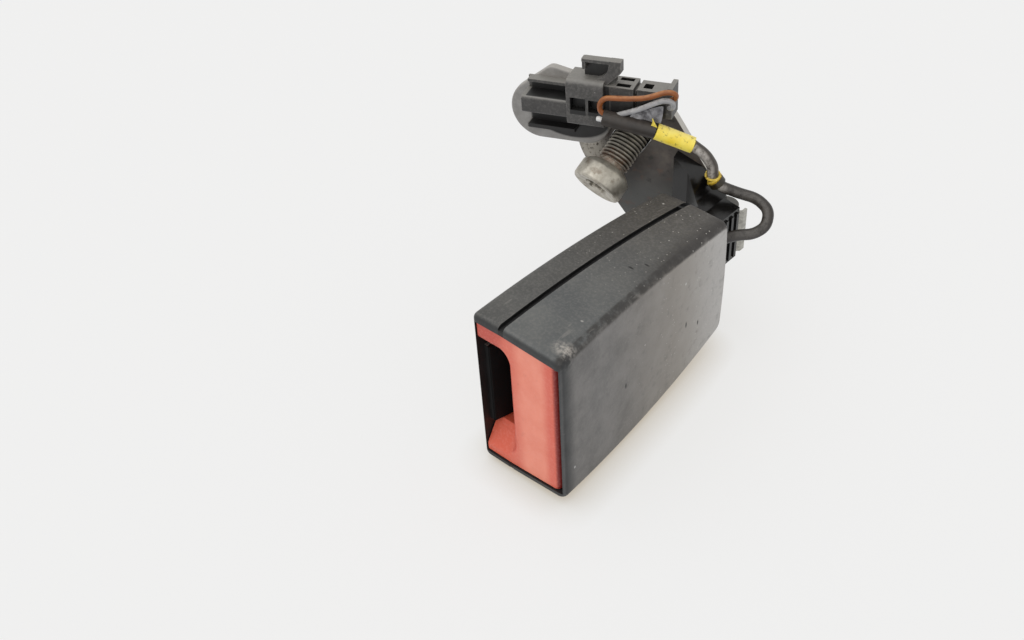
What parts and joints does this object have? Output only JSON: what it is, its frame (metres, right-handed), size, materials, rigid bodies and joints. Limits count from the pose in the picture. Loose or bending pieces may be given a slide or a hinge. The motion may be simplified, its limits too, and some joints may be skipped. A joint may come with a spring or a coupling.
{
  "type": "seat belt buckle",
  "caption": "Black plastic seat belt buckle with a red release button, a bent steel anchor bracket, a loose anchor bolt, and a switch lead ending in a connector.",
  "frame": {"origin": "centre of the anchor bracket's eye, on the rear face of the plate, which is bolted to the car", "axes": "+Y along the housing from its button end towards its bracket end, +X through the housing's thickness away from the tongue side, +Z across its width, up as it lies in the picture"},
  "size_m": [0.0907, 0.1193, 0.0883],
  "materials": {
    "black_plastic": "satin",
    "red_plastic": "satin",
    "guide_plastic": "matte",
    "zinc_steel": "satin",
    "hard_steel": "satin",
    "spring_steel": "satin",
    "magnet": "satin",
    "rubber": "matte",
    "coated_steel": "satin",
    "bolt_steel": "satin",
    "fibre": "matte",
    "boot_plastic": "matte",
    "cable_sheath": "satin",
    "yellow_tape": "satin",
    "sleeve_plastic": "satin",
    "connector_plastic": "satin",
    "tin_contact": "satin",
    "brown_insulation": "satin",
    "grey_insulation": "satin"
  },
  "bodies": {
    "housing": {"cover_shell": "black_plastic", "main_shell": "black_plastic", "button_springs": "spring_steel", "tongue_guide": "guide_plastic", "latch_frame": "zinc_steel", "keeper_plate": "zinc_steel", "frame_spacer": "guide_plastic", "frame_rivets": "zinc_steel", "latch_pin": "hard_steel", "latch_bridge": "zinc_steel", "latch_spring": "spring_steel", "ejector_springs": "spring_steel", "sensor_module": "guide_plastic", "cable_grommet": "rubber", "anchor_bracket": "coated_steel", "strap_boot": "boot_plastic", "switch_cable": "cable_sheath", "marker_tape": "yellow_tape", "cable_sleeve": "sleeve_plastic", "cable_tie": "yellow_tape", "connector_holder": "connector_plastic", "connector_body": "connector_plastic", "terminal_lock": "connector_plastic", "connector_terminals": "tin_contact", "brown_wire": "brown_insulation", "grey_wire": "grey_insulation"},
    "button": {"release_button": "red_plastic"},
    "latch": {"latch": "hard_steel"},
    "ejector": {"ejector": "guide_plastic", "ejector_magnet": "magnet"},
    "washer": {"retaining_washer": "fibre"},
    "bolt": {"anchor_bolt": "bolt_steel"}
  },
  "joints": [
    {"name": "button_press", "type": "slide", "parent": "housing", "child": "button", "axis": [0, 1, 0], "range_m": [0, 0.006], "stiffness_N_per_m": 600, "springref_m": -0.004, "deforming": ["button_springs"]},
    {"name": "latch_lift", "type": "hinge", "parent": "housing", "child": "latch", "pos_m": [0.03905, -0.04092, -0.0279], "axis": [0, 0, 1], "range_deg": [0, 16], "deforming": ["latch_spring"]},
    {"name": "ejector_push", "type": "slide", "parent": "housing", "child": "ejector", "axis": [0, 1, 0], "range_m": [0, 0.009], "stiffness_N_per_m": 300, "springref_m": -0.004, "deforming": ["ejector_springs"]},
    {"name": "bolt_swing", "type": "hinge", "parent": "housing", "child": "washer", "pos_m": [0.00051, -0.00141, 0], "axis": [-0.8005, -0.2914, 0.5237], "range_deg": [0, 40]},
    {"name": "bolt_spin", "type": "hinge", "parent": "washer", "child": "bolt", "pos_m": [0.00051, -0.00141, 0], "axis": [0.065, 0.8265, 0.5592], "continuous": true}
  ],
  "couplings": [
    {"joint": "latch_lift", "follows": "button_press", "rad_per_m": 46.541}
  ]
}
